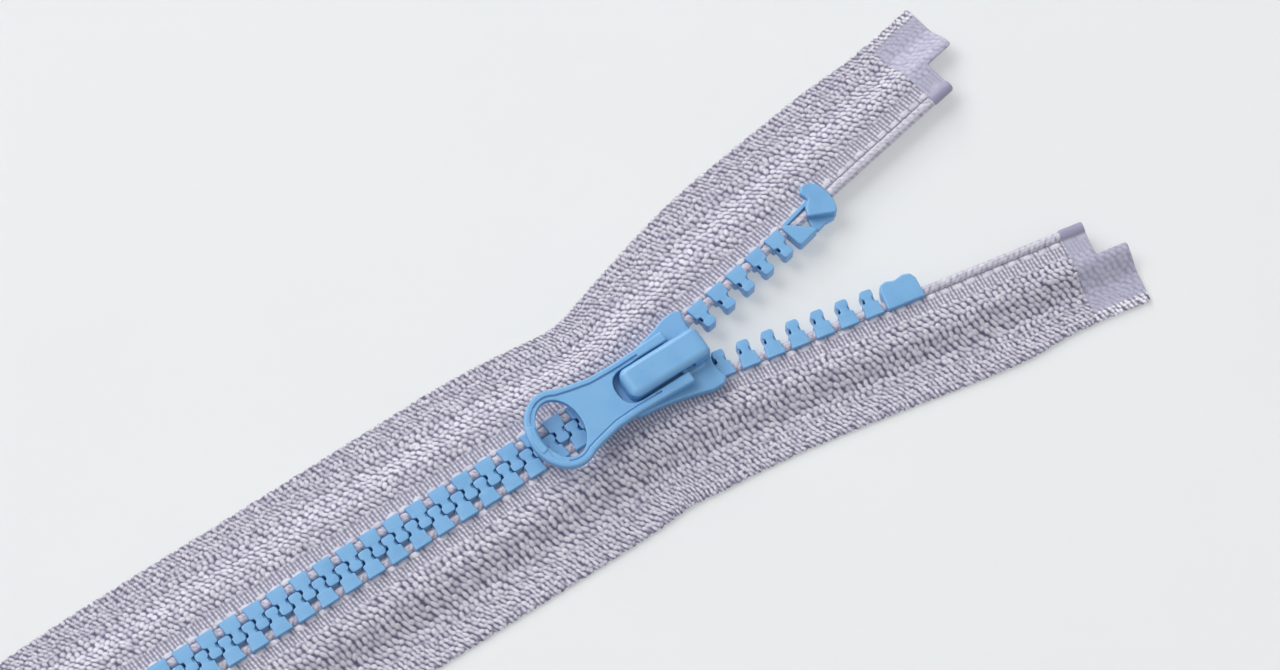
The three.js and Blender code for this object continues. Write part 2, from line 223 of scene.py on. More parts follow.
def turns_left(outline):
    points = np.asarray(outline)
    following = np.roll(points, -1, axis=0)
    return float(np.sum(points[:, 0] * following[:, 1] - following[:, 0] * points[:, 1])) > 0


def slab(outline, low, high, edge=0.0, holes=(), segments=3):
    """A flat solid between two heights with rounded edges, as a mesh."""
    curve = bpy.data.curves.new("outline", "CURVE")
    curve.dimensions = "2D"
    curve.fill_mode = "BOTH"
    curve.extrude = (high - low) / 2 - edge
    curve.bevel_depth = edge
    curve.bevel_resolution = segments
    curve.offset = -edge
    for ring, left in [(outline, True), *((hole, False) for hole in holes)]:
        ring = list(ring) if turns_left(ring) == left else list(ring)[::-1]
        spline = curve.splines.new("POLY")
        spline.points.add(len(ring) - 1)
        for point, (x, y) in zip(spline.points, ring):
            point.co = (x, y, 0, 1)
        spline.use_cyclic_u = True
    mesh = evaluated(curve)
    mesh.transform(Matrix.Translation((0, 0, (low + high) / 2)))
    return sealed(mesh)


MEETING = 0.002                # points nearer than this are one point


def sealed(mesh):
    """Meeting points merged and every face turned outwards."""
    shape = bmesh.new()
    shape.from_mesh(mesh)
    bmesh.ops.remove_doubles(shape, verts=shape.verts, dist=MEETING)
    bmesh.ops.dissolve_degenerate(shape, edges=shape.edges, dist=MEETING / 4)
    bmesh.ops.recalc_face_normals(shape, faces=shape.faces)
    shape.to_mesh(mesh)
    shape.free()
    return faced_out(mesh)


def enclosed_volume(mesh):
    """Positive if the faces point out."""
    points = points_of(mesh)
    mesh.calc_loop_triangles()
    corners = np.empty(len(mesh.loop_triangles) * 3, np.int32)
    mesh.loop_triangles.foreach_get("vertices", corners)
    a, b, c = (points[corners.reshape(-1, 3)[:, i]] for i in range(3))
    return float(np.einsum("ij,ij->i", a, np.cross(b, c)).sum()) / 6


def faced_out(mesh):
    """The closed mesh with its faces turned outwards."""
    if enclosed_volume(mesh) < 0:
        mesh.flip_normals()
    return mesh


def standing(mesh):
    """Turns a slab drawn in (x, z) upright, so that its thickness runs across the chain."""
    mesh.transform(Matrix.Rotation(math.pi / 2, 4, "X"))
    return mesh


def joined(meshes):
    """Several meshes as one, without changing their surfaces."""
    points, faces, start = [], [], 0
    for mesh in meshes:
        points.append(points_of(mesh))
        faces += [[start + v for v in polygon.vertices] for polygon in mesh.polygons]
        start += len(mesh.vertices)
    return new_mesh(np.concatenate(points), faces)


def combined(mesh, tools, operation):
    """The mesh united with, cut by or kept within the tools."""
    def build(holder):
        helpers = []
        for tool in tools:
            helper = bpy.data.objects.new("tool", tool)
            bpy.context.scene.collection.objects.link(helper)
            helper.hide_render = True
            cut = holder.modifiers.new("cut", "BOOLEAN")
            cut.operation = operation
            cut.solver = "MANIFOLD"
            cut.object = helper
            helpers.append(helper)
        return helpers
    return evaluated(mesh, build)


def remeshed(holder, voxel):
    skin = holder.modifiers.new("skin", "REMESH")
    skin.mode = "VOXEL"
    skin.voxel_size = voxel


def moulded(mesh, voxel, passes):
    """One skin over overlapping solids, with the small fillets that a moulding has."""
    def build(holder):
        remeshed(holder, voxel)
        ease = holder.modifiers.new("ease", "SMOOTH")
        ease.factor = 0.5
        ease.iterations = passes
    return evaluated(mesh, build)


def finished(name, mesh, material, smooth_angle=None):
    """The mesh, in millimetres, as a named piece in metres."""
    mesh.transform(Matrix.Scale(MM, 4))
    mesh.name = name
    mesh.materials.clear()
    mesh.materials.append(material)
    mesh.shade_smooth()
    piece = bpy.data.objects.new(name, mesh)
    bpy.context.scene.collection.objects.link(piece)
    if smooth_angle is not None:
        mesh.set_sharp_from_angle(angle=math.radians(smooth_angle))
        even = piece.modifiers.new("even_shading", "WEIGHTED_NORMAL")
        even.keep_sharp = True
        even.weight = 90
    return piece


def solid_piece(name, mesh, material, body, node, smooth_angle=None):
    """A finished piece that rides one body and stands for one CAD node."""
    piece = finished(name, mesh, material, smooth_angle)
    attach(piece, body)
    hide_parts(node)


def skin_mesh(points):
    """A mesh over an (n, m, 3) array of rings that close on themselves, with filled ends."""
    rings, around = points.shape[:2]
    index = np.arange(rings * around).reshape(rings, around)
    following = np.roll(index, -1, axis=1)
    quads = np.stack([index[:-1], index[1:], following[1:], following[:-1]], axis=-1).reshape(-1, 4)
    mesh = bpy.data.meshes.new("skin")
    mesh.vertices.add(rings * around)
    mesh.vertices.foreach_set("co", points.reshape(-1))
    ends = [index[0], index[-1][::-1]]
    loops = np.concatenate([quads.reshape(-1), *ends])
    starts = list(range(0, quads.size, 4)) + [quads.size + i * around for i in range(len(ends))]
    mesh.loops.add(len(loops))
    mesh.loops.foreach_set("vertex_index", loops.astype(np.int32))
    mesh.polygons.add(len(starts))
    mesh.polygons.foreach_set("loop_start", np.array(starts, np.int32))
    mesh.update(calc_edges=True)
    mesh.validate()
    return mesh


# ------------------------------------------------------------------ materials
class Nodes:
    """Small helper round one material's node tree."""

    def __init__(self, name):
        self.material = bpy.data.materials.new(name)
        self.material.use_nodes = True
        self.tree = self.material.node_tree
        self.shader = self.tree.nodes["Principled BSDF"]

    def add(self, kind, **values):
        node = self.tree.nodes.new(kind)
        for key, value in values.items():
            setattr(node, key, value)
        return node

    def link(self, source, target):
        self.tree.links.new(source, target)

    def noise(self, scale, detail=2.0, roughness=0.5, stretch=(1, 1, 1)):
        place = self.add("ShaderNodeTexCoord")
        sized = self.add("ShaderNodeMapping")
        sized.inputs["Scale"].default_value = stretch
        noise = self.add("ShaderNodeTexNoise")
        noise.inputs["Scale"].default_value = scale
        noise.inputs["Detail"].default_value = detail
        noise.inputs["Roughness"].default_value = roughness
        self.link(place.outputs["Object"], sized.inputs["Vector"])
        self.link(sized.outputs["Vector"], noise.inputs["Vector"])
        return noise.outputs["Fac"]

    def ramp(self, source, stops):
        ramp = self.add("ShaderNodeValToRGB")
        elements = ramp.color_ramp.elements
        while len(elements) < len(stops):
            elements.new(0.5)
        for element, (position, colour) in zip(elements, stops):
            element.position = position
            element.color = (*colour, 1)
        self.link(source, ramp.inputs["Fac"])
        return ramp.outputs["Color"]

    def mixed(self, factor, first, second):
        mix = self.add("ShaderNodeMix", data_type="RGBA")
        for socket, value in (("Factor", factor), ("A", first), ("B", second)):
            self.feed(value, mix.inputs[socket])
        return mix.outputs["Result"]

    def maths(self, operation, first, second):
        node = self.add("ShaderNodeMath", operation=operation)
        self.feed(first, node.inputs[0])
        self.feed(second, node.inputs[1])
        return node.outputs[0]

    def feed(self, value, socket):
        """Links a socket, or sets a colour or number."""
        if isinstance(value, bpy.types.NodeSocket):
            self.link(value, socket)
        elif isinstance(value, tuple):
            socket.default_value = (*value, 1)
        else:
            socket.default_value = value

    def span(self, source, low, high):
        """Maps 0 to 1 on to low to high."""
        node = self.add("ShaderNodeMapRange")
        node.inputs["To Min"].default_value = low
        node.inputs["To Max"].default_value = high
        self.link(source, node.inputs["Value"])
        return node.outputs["Result"]

    def bump(self, source, strength, distance):
        bump = self.add("ShaderNodeBump")
        bump.inputs["Strength"].default_value = strength
        bump.inputs["Distance"].default_value = distance
        self.link(source, bump.inputs["Height"])
        self.link(bump.outputs["Normal"], self.shader.inputs["Normal"])

    def set(self, **values):
        """Feeds the shader's sockets, named with _ for each space."""
        for key, value in values.items():
            self.feed(value, self.shader.inputs[key.replace("_", " ")])


# Plastic blues: the pale one is painted highlight on convex edges, the middle one the plastic's own colour,
# the deep one both the dark end of its cloudy tone and painted shade.
BLUE_HIGHLIGHT, BLUE, BLUE_DEEP = (0.27, 0.52, 0.80), (0.205, 0.445, 0.735), (0.13, 0.34, 0.64)


def moulded_plastic():
    """Satin acetal: a little cloudiness in the colour, faint grain, painted highlight on convex edges, and
    painted shade in hollows and on upright faces.
    """
    m = Nodes("moulded_blue_plastic")
    cloud = m.noise(260, detail=3)
    body = m.ramp(cloud, [(0.3, BLUE_DEEP), (0.5, BLUE), (0.72, (0.225, 0.47, 0.76))])
    edge = m.add("ShaderNodeNewGeometry").outputs["Pointiness"]
    # Painted highlight: convex edges, found by pointiness, are paled towards the pale blue.
    edge_highlight = m.ramp(edge, [(0.50, (0, 0, 0)), (0.60, (1, 1, 1))])
    # Painted shade: hollows, found by pointiness, are darkened towards the deep blue.
    sunk = m.ramp(edge, [(0.40, (1, 1, 1)), (0.49, (0, 0, 0))])
    body = m.mixed(0.35, BLUE, body)
    body = m.mixed(m.maths("MULTIPLY", edge_highlight, 0.45), body, BLUE_HIGHLIGHT)
    body = m.mixed(m.maths("MULTIPLY", sunk, 0.5), body, BLUE_DEEP)
    # Painted shade: faces that stand upright are darkened towards the deep blue, as if turned from the
    # light.
    facing = m.add("ShaderNodeSeparateXYZ")
    m.link(m.add("ShaderNodeTexCoord").outputs["Normal"], facing.inputs["Vector"])
    upright = m.ramp(m.maths("ABSOLUTE", facing.outputs["Z"], 0.0), [(0.15, (1, 1, 1)), (0.80, (0, 0, 0))])
    body = m.mixed(m.maths("MULTIPLY", upright, 0.9), body, BLUE_DEEP)
    m.set(Base_Color=body)
    m.set(Roughness=m.span(m.noise(900, detail=3), 0.24, 0.36))
    m.bump(m.noise(2600, detail=3, roughness=0.6), 0.10, 0.00003)
    m.shader.inputs["IOR"].default_value = 1.48
    m.shader.inputs["Subsurface Weight"].default_value = 0.08
    m.shader.inputs["Subsurface Radius"].default_value = (0.0004, 0.0006, 0.0010)
    m.shader.inputs["Subsurface Scale"].default_value = 1.0
    return m.material


FIBRE_SCALE = 5200
# Yarn colours: the dark one is painted shade in the gaps between loops and also tints fine fibres, the
# middle one is the yarn's own tone, the pale one is painted highlight on the loop tops.
YARN_SHADE_AND_FIBRE, YARN_MID, YARN_LOOP_HIGHLIGHT = (0.115, 0.104, 0.176), (0.385, 0.365, 0.465), (0.88, 0.86, 0.92)


def yarn(name, gap, middle, light):
    """Polyester yarn: painted shade in the gaps and painted highlight on the loops, with fine fibres and a
    soft sheen.
    """
    m = Nodes(name)
    stored = m.add("ShaderNodeAttribute", attribute_name="yarn")
    parts = m.add("ShaderNodeSeparateColor")
    m.link(stored.outputs["Color"], parts.inputs["Color"])
    depth, tone = parts.outputs["Red"], parts.outputs["Green"]
    # Painted shade and highlight: the stored depth darkens the hollows towards the gap colour and pales the
    # loop tops towards the light colour. Fine fibres below are also darkened towards the gap colour.
    colour = m.ramp(depth, [(0.0, gap), (0.45, middle), (0.85, light)])
    colour = m.mixed(m.span(tone, 0.0, 0.28), colour, YARN_MID)
    fibres = m.noise(FIBRE_SCALE, detail=3, roughness=0.65, stretch=(1.0, 0.45, 1.0))
    colour = m.mixed(m.span(fibres, 0.0, 0.26), colour, gap)
    patches = m.noise(140, detail=2)
    colour = m.mixed(m.span(patches, 0.0, 0.12), colour, YARN_MID)
    m.set(Base_Color=colour)
    m.set(Roughness=m.span(depth, 0.95, 0.68))
    m.bump(fibres, 0.55, 0.00006)
    m.shader.inputs["Sheen Weight"].default_value = 0.25
    m.shader.inputs["Sheen Roughness"].default_value = 0.4
    m.shader.inputs["Sheen Tint"].default_value = (0.90, 0.88, 1.0, 1)
    m.shader.inputs["Specular IOR Level"].default_value = 0.35
    return m.material


def fused_film():
    """Film melted on to the tape: smooth lavender over printed loops, and bare yarn at the selvedge."""
    m = Nodes("fused_film")
    stored = m.add("ShaderNodeAttribute", attribute_name="yarn")
    parts = m.add("ShaderNodeSeparateColor")
    m.link(stored.outputs["Color"], parts.inputs["Color"])
    depth, bare = parts.outputs["Red"], parts.outputs["Blue"]
    threads = m.noise(1500, detail=2, roughness=0.6, stretch=(1.0, 2.2, 1.0))
    blotch = m.noise(420, detail=3)
    colour = m.ramp(depth, [
        (0.0, (0.30, 0.29, 0.42)), (0.5, (0.42, 0.41, 0.54)), (0.95, (0.58, 0.57, 0.68)),
    ])
    colour = m.mixed(m.span(threads, 0.0, 0.35), colour, (0.36, 0.35, 0.48))
    colour = m.mixed(m.span(blotch, 0.0, 0.3), colour, (0.47, 0.46, 0.59))
    # Bare yarn at the selvedge, with the yarn's painted shade in its gaps and painted highlight on its
    # loops.
    cloth = m.ramp(depth, [(0.0, YARN_SHADE_AND_FIBRE), (0.45, YARN_MID), (0.85, YARN_LOOP_HIGHLIGHT)])
    m.set(Base_Color=m.mixed(bare, colour, cloth))
    m.set(Roughness=m.span(blotch, 0.36, 0.52))
    m.bump(threads, 0.30, 0.00006)
    m.shader.inputs["Specular IOR Level"].default_value = 0.45
    return m.material


def spring_steel():
    """Bright rolled strip with fine grain along it."""
    m = Nodes("spring_steel")
    grain = m.noise(2400, detail=2, stretch=(0.08, 1.0, 1.0))
    m.set(Base_Color=m.ramp(grain, [(0.3, (0.38, 0.39, 0.41)), (0.7, (0.62, 0.63, 0.65))]))
    m.set(Roughness=m.span(grain, 0.22, 0.38))
    m.bump(grain, 0.2, 0.00002)
    m.shader.inputs["Metallic"].default_value = 1.0
    return m.material


def pale_paper():
    """The plain pale ground under the object, with a faint glow of its own that paints light into the
    shadows cast on it.
    """
    m = Nodes("pale_ground")
    shade = m.noise(30, detail=2)
    m.set(Base_Color=m.ramp(shade, [(0.3, (0.525, 0.538, 0.541)), (0.7, (0.535, 0.547, 0.550))]))
    m.shader.inputs["Roughness"].default_value = 0.85
    # Painted light: the ground's emission lifts the cast shadows and lights the object faintly.
    m.shader.inputs["Emission Color"].default_value = (0.97, 0.99, 1.0, 1)
    m.shader.inputs["Emission Strength"].default_value = 0.30
    return m.material


PLASTIC = moulded_plastic()
TAPE_YARN = yarn("tape_yarn", YARN_SHADE_AND_FIBRE, YARN_MID, YARN_LOOP_HIGHLIGHT)
# The cord's colours: painted shade between its wraps, its own tone, and painted highlight on the wraps.
CORD_YARN = yarn("cord_yarn", (0.20, 0.185, 0.27), (0.50, 0.48, 0.58), (0.80, 0.78, 0.85))
FILM = fused_film()
STEEL = spring_steel()


# ------------------------------------------------------------------ knitted tape
def scatter(row, column, seed):
    """A fixed value from 0 to 1 for each loop of the knit."""
    mixed = np.sin(row * 127.1 + column * 311.7 + seed * 74.7) * 43758.5453
    return mixed - np.floor(mixed)


def loops(along, out, step, row_step, size, tilt, seed):
    """Height and tone of staggered loops, each a small slanted dome."""
    height, tone = np.zeros_like(along), np.zeros_like(along)
    base_row = np.floor(out / row_step)
    for row in (base_row - 1, base_row, base_row + 1):
        odd = np.mod(row, 2)
        shift = odd * step / 2 + (scatter(row, 0 * row, seed) - 0.5) * 0.2 * step
        base_column = np.floor((along - shift) / step)
        for column in (base_column - 1, base_column, base_column + 1):
            lean = tilt * (0.65 + 0.7 * odd) + (scatter(row, column, seed + 1) - 0.5) * 0.5
            middle = (column + 0.5 + 0.25 * (scatter(row, column, seed + 2) - 0.5)) * step + shift
            level = (row + 0.5 + 0.25 * (scatter(row, column, seed + 3) - 0.5)) * row_step
            u = (along - middle) * np.cos(lean) + (out - level) * np.sin(lean)
            v = (out - level) * np.cos(lean) - (along - middle) * np.sin(lean)
            dome = np.sqrt(np.clip(1 - (u / size[0]) ** 2 - (v / size[1]) ** 2, 0, 1))
            dome = dome * (0.78 + 0.34 * scatter(row, column, seed + 4))
            tone = np.where(dome > height, scatter(row, column, seed + 5), tone)
            height = np.maximum(height, dome)
    return height, tone


# Each set of loops: step along the row, step outwards, and the loops' half sizes.
COARSE_LOOPS = (0.92, 0.69, (0.54, 0.365))
FINE_LOOPS = (0.75, 0.53, (0.45, 0.275))
STITCH_LOOPS = (2.1, 1.15, (0.84, 0.46))
LOOP_TILT = 0.70
GROOVE_OUT = 0.62              # the first stitches begin beside the bead cord, in a groove
RIB_STEP = 0.57
COARSE_RISE, FINE_RISE, RIB_RISE, STITCH_RISE = 0.27, 0.17, 0.11, 0.16


def knit(along, out, side, seed):
    """Height of the cloth's face in millimetres, and what the yarn's colour follows: a depth that paints
    shade in the hollows and highlight on the tops, and the loops' tone.
    """
    tilt = -side * LOOP_TILT
    straight, level = along, out
    along = straight + 0.20 * np.sin(1.3 * level + 0.21 * straight + seed)
    out = level + 0.15 * np.sin(1.15 * straight + seed) + 0.11 * np.sin(2.7 * straight + 0.9 * level)
    coarse, coarse_tone = loops(along, out, *COARSE_LOOPS, tilt, seed)
    fine, fine_tone = loops(along, out, *FINE_LOOPS, tilt, seed + 20)
    along, out = straight, level
    stitch, stitch_tone = loops(along, out - GROOVE_OUT, *STITCH_LOOPS, 0.0, seed + 40)
    sway = 0.12 * side * out + 0.06 * np.sin(along * 1.7 + seed) + 0.05 * np.sin(along * 5.1 + 2.0 * out)
    rib = (0.5 + 0.5 * np.cos(2 * math.pi * (along + sway) / RIB_STEP)) ** 0.9
    rib_start = 3.0 * scatter(np.floor(along / RIB_STEP), 0, seed)
    rib = rib * (0.80 + 0.2 * np.sin(2 * math.pi * out / 0.62 + rib_start))
    ribbed = 1 - smooth_step((out - RIB_END + 0.3 + 0.18 * np.sin(3.1 * along + seed)) / 0.6)
    finer = smooth_step((out - COARSE_END) / 0.9)
    stitched = 1 - smooth_step((out - STITCH_END) / 0.2)
    wide = 1 - ribbed
    rise = wide * ((1 - finer) * coarse * COARSE_RISE + finer * fine * FINE_RISE)
    near_cord = np.maximum(stitched * stitch * STITCH_RISE, rib * RIB_RISE * (1 - 0.3 * stitched))
    rise = rise + ribbed * near_cord
    # Depth: the yarn's colour paints shade where it is low and highlight where it is high, between and on
    # the loops, ribs and stitches.
    depth = wide * ((1 - finer) * coarse + finer * fine)
    depth = depth + ribbed * np.maximum(stitched * (0.25 + 0.75 * stitch), 0.2 + 0.8 * rib)
    # Painted shade: the groove beside the bead cord is darkened.
    depth = depth * smooth_step((out - GROOVE_OUT) / 0.28)
    tone = wide * ((1 - finer) * coarse_tone + finer * fine_tone) + ribbed * stitched * stitch_tone
    return rise, np.clip(depth, 0, 1), np.clip(tone, 0, 1)


def store_yarn(mesh, depth, tone, bare):
    """Keeps on each point how high it lies in the cloth, its loop's tone, and whether film is absent."""
    colour = np.stack([depth, tone, bare, 0 * depth + 1], axis=-1).astype(np.float32)
    stored = mesh.attributes.new("yarn", "FLOAT_COLOR", "POINT")
    stored.data.foreach_set("color", colour.reshape(-1))


SELVEDGE_STEP = 2.3
SELVEDGE_ROUND = 0.32


def selvedge(along, seed):
    """How far the outer edge stands out or in: small loops with a nick at each turn of the weft."""
    bead = 0.10 * np.abs(np.sin(math.pi * along / 0.62))
    phase = np.mod(along / SELVEDGE_STEP + 0.13 * seed, 1.0) - 0.5
    return bead - 0.26 * np.exp(-(phase / 0.09) ** 2), np.exp(-(phase / 0.11) ** 2)


def bordered(length, out, depth, seed):
    """How far the border's edge stands out, and the depth lowered in its nicks, which paints shade there."""
    edge, nick = selvedge(length, seed)
    share = smooth_step((out - BORDER) / (TAPE_OUTER - BORDER))
    return edge * share, depth * (1 - 0.75 * nick * share)


def tape_low(out):
    """Underside of the tape: level beside the teeth, then down to the ground."""
    return EDGE_LOW * (1 - smooth_step((out - TAPE_LEVEL) / (TAPE_FLOOR - TAPE_LEVEL)))


def tape_mesh(row, start, end, step, seed):
    """The tape from start to end along the row: a closed skin, knitted on both faces."""
    along = np.linspace(start, end, int(round((end - start) / step)) + 1)
    face = np.linspace(TAPE_INNER, TAPE_OUTER, 92)
    back = np.linspace(TAPE_OUTER, TAPE_INNER, 44)
    out = np.concatenate([face, back])[None, :] + 0 * along[:, None]
    is_face = np.concatenate([np.ones(len(face)), np.zeros(len(back))])[None, :]
    length = along[:, None] + 0 * out
    rise, depth, tone = knit(length, out, row.side, seed)
    edge, depth = bordered(length, out, depth, seed)
    near = np.minimum(TAPE_OUTER - out, out - TAPE_INNER) / SELVEDGE_ROUND
    plump = np.sqrt(np.clip(1 - (1 - np.clip(near, 0, 1)) ** 2, 0, 1))
    wave = 0.10 * np.sin(length / 9.0 + seed) * smooth_step((out - 6) / 6)
    middle = tape_low(out) + TAPE_T / 2 + 0.10 + np.maximum(wave, 0)
    half = TAPE_T / 2 * plump
    z = np.where(is_face > 0, middle + half + rise * plump, middle - half - 0.35 * rise * plump)
    spread = row.drape(length, out) * smooth_step((film_start(row) - length) / DRAPE_END)
    points = row.laid(length, out + edge + spread, np.maximum(z, 0.0))
    mesh = faced_out(skin_mesh(points))
    store_yarn(mesh, depth, tone, 0 * depth)
    return mesh


def cord_mesh(row, start, end, step, seed):
    """The bead cord: a plump core wrapped with slanting stitches."""
    along = np.linspace(start, end, int(round((end - start) / step)) + 1)
    angle = np.linspace(0, 2 * math.pi, 30, endpoint=False)
    length = along[:, None] + 0 * angle[None, :]
    turn = angle[None, :] + 0 * length
    wrap = np.abs(np.sin(math.pi * (length / 1.05 + turn / (2 * math.pi))))
    bead, tone = loops(length, turn * 0.75, 0.80, 0.75 * math.pi / 4, (0.52, 0.34), 0.45, seed)
    radius = 0.63 + 0.03 * wrap ** 0.5 + 0.09 * bead
    out = radius * np.cos(turn)
    points = row.laid(length, out, MID_Z + radius * np.sin(turn) * 0.92)
    mesh = faced_out(skin_mesh(points))
    # Painted shade between the wraps and beads, and painted highlight on their tops, through the stored
    # depth.
    depth = np.clip(0.12 + 0.2 * wrap + 0.68 * bead, 0, 1)
    store_yarn(mesh, depth, tone, 0 * depth)
    return mesh


def film_start(row):
    """Where the fused film begins, along the row."""
    low, high = node_box(f"{row.name}_cord_top")
    tip = np.array([high[0], high[1] if row.side > 0 else low[1]])
    return math.hypot(*(tip - row.hinge[:2]))


TAPE_STEP, CORD_STEP = 0.15, 0.13
CLOTH_SEED = {"left": 3, "right": 8}


def make_tape(row, bottom):
    """Both lengths of one stringer's tape and cord, which meet half way between its hinges."""
    half_way = row.stroke / 2
    tip = film_start(row)
    seed = CLOTH_SEED[row.name]
    lengths = [
        ("lower", bottom, half_way, False, ["tape_closed", "tape_free"], ["cord_free"]),
        ("upper", half_way, tip, True, ["tape_top"], ["cord_top"]),
    ]
    for label, start, end, upper, tape_nodes, cord_nodes in lengths:
        cord_shape = cord_mesh(row, start, end, CORD_STEP, seed)
        cord = finished(f"{row.name}_bead_cord_{label}", cord_shape, CORD_YARN)
        row.bend(cord, upper)
        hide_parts(*(f"{row.name}_{node}" for node in cord_nodes))
        tape_shape = tape_mesh(row, start, end, TAPE_STEP, seed)
        tape = finished(f"{row.name}_tape_{label}", tape_shape, TAPE_YARN)
        row.bend(tape, upper)
        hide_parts(*(f"{row.name}_{node}" for node in tape_nodes))


# ------------------------------------------------------------------ fused ends of the tapes
FILM_STEP_OUT, FILM_SHORT, FILM_LONG = 4.3, 3.6, 8.2
FILM_T = 0.5
FILM_INNER = -0.85             # the film's edge inside the bead cord
FILM_OUTER = TAPE_OUTER - 0.1
BOTTOM_FILM_INNER = 2.35       # at the bottom end the pins take the room nearer in
FILM_LAP = 0.05                # lap over the tape's end
FILM_VOXEL = 0.16
SELVEDGE_START = 11.45         # the film stops here and leaves the braided edge bare


def film_mesh(row, start, corners, opened):
    """A thin sheet over the cloth: a fine grid cut to an outline, with a rounded rim."""
    flat = slab(rounded(corners, 4), 0.0, FILM_T, 0.12)
    gridded = evaluated(flat, lambda holder: remeshed(holder, FILM_VOXEL))
    points = points_of(gridded)
    along, out, z = points[:, 0] + start, points[:, 1], points[:, 2]
    rise, depth, tone = knit(along, out, row.side, CLOTH_SEED[row.name])
    face = smooth_step(z / FILM_T * 2 - 0.6)
    bare = smooth_step((out - SELVEDGE_START) / 0.2)
    edge, depth = bordered(along, out, depth, CLOTH_SEED[row.name])
    over_cord = 0.55 * np.sqrt(np.clip(1 - (out / 0.8) ** 2, 0, 1))
    z = z + tape_low(out) + 0.06 + face * (rise * (0.25 + 0.6 * bare) + over_cord)
    laid = row.place(along, out + edge, z, 1.0 if opened else 0.0)
    store_yarn(set_points(gridded, laid), depth, tone, bare)
    return faced_out(gridded)


def make_top_film(row):
    corners = [
        (0.0, FILM_INNER, 0.3), (FILM_SHORT, FILM_INNER, 0.35), (FILM_SHORT, FILM_STEP_OUT, 0.25),
        (FILM_LONG, FILM_STEP_OUT, 0.35), (FILM_LONG, FILM_OUTER, 0.5), (0.0, FILM_OUTER, 0.2),
    ]
    mesh = film_mesh(row, film_start(row) - FILM_LAP, corners, True)
    solid_piece(f"{row.name}_top_film_sheet", mesh, FILM, row.top, f"{row.name}_top_film")


def make_bottom_film(row):
    low, high = node_box(f"{row.name}_bottom_film")
    start = low[0] - row.hinge[0]
    long = high[0] - low[0] + TAPE_UNDER_FILM
    corners = [
        (0, BOTTOM_FILM_INNER, 0.4), (long, BOTTOM_FILM_INNER, 0.2), (long, FILM_OUTER, 0.2),
        (0, FILM_OUTER, 0.8),
    ]
    mesh = film_mesh(row, start, corners, False)
    solid_piece(f"{row.name}_bottom_film_sheet", mesh, FILM, row.chain, f"{row.name}_bottom_film")


# ------------------------------------------------------------------ teeth
def mirrored(half):
    """A whole outline from one side's corners (along, out, radius)."""
    return [*half, *[(-along, out, radius) for along, out, radius in reversed(half)]]


WEB_LOW, WEB_HIGH, PIT_LOW = 1.6, 3.2, 2.4


def tooth_mesh():
    """One tooth at along 0: a square foot on the cord, a narrow neck and a rounded head, level on top.

    A lower web stiffens the neck, with a small pit in it on the side towards the closed end.
    """
    whole = mirrored([
        (1.38, 0.95, 0.16), (1.20, -0.1, 1.2), (1.20, -1.00, 0.30), (0.58, -1.14, 0.24),
        (0.56, -1.70, 0.24), (0.90, -1.98, 0.28), (0.88, -2.98, 0.66),
    ])
    web = [(-0.88, -0.7, 0.1), (-0.88, -2.1, 0.2), (0.86, -2.1, 0.2), (0.86, -0.7, 0.1)]
    pit = [(-0.84, -1.08, 0.1), (-0.84, -1.74, 0.14), (-0.47, -1.74, 0.14), (-0.47, -1.08, 0.1)]
    block = slab(rounded(whole), TOOTH_LOW, TOOTH_HIGH, 0.13)
    solid = combined(block, [slab(rounded(web), WEB_LOW, WEB_HIGH, 0.08)], "UNION")
    return combined(solid, [slab(rounded(pit), PIT_LOW, WEB_HIGH + 0.1, 0.02)], "DIFFERENCE")


TOOTH = tooth_mesh()


def tooth_at(row, along, opened):
    """A copy of the tooth at its place on the row."""
    mesh = TOOTH.copy()
    moved = points_of(mesh) + np.array([along, 0, 0])
    return faced_out(set_points(mesh, row.rigid(moved, opened)))


def make_teeth(row):
    closed = joined([tooth_at(row, -(i + 0.5) * PITCH, False) for i in range(CLOSED_TEETH)])
    name, node = f"{row.name}_closed_teeth_moulded", f"{row.name}_teeth_closed"
    solid_piece(name, closed, PLASTIC, row.chain, node, SHARP_ANGLE)
    for i in range(1, FREE_TEETH + TOP_TEETH[row.name] + 1):
        tooth = tooth_at(row, (i - 0.5) * PITCH, True)
        body = row.free if i <= FREE_TEETH else row.top
        node = f"{row.name}_tooth_{i}"
        solid_piece(f"{node}_moulded", tooth, PLASTIC, body, node, SHARP_ANGLE)


# ------------------------------------------------------------------ top stops
STOP_AFTER_TOOTH = 1.9
STOP_VOXEL, STOP_PASSES = 0.07, 3


def stop_start(row):
    return row.stroke + (TOP_TEETH[row.name] - 0.5) * PITCH + STOP_AFTER_TOOTH


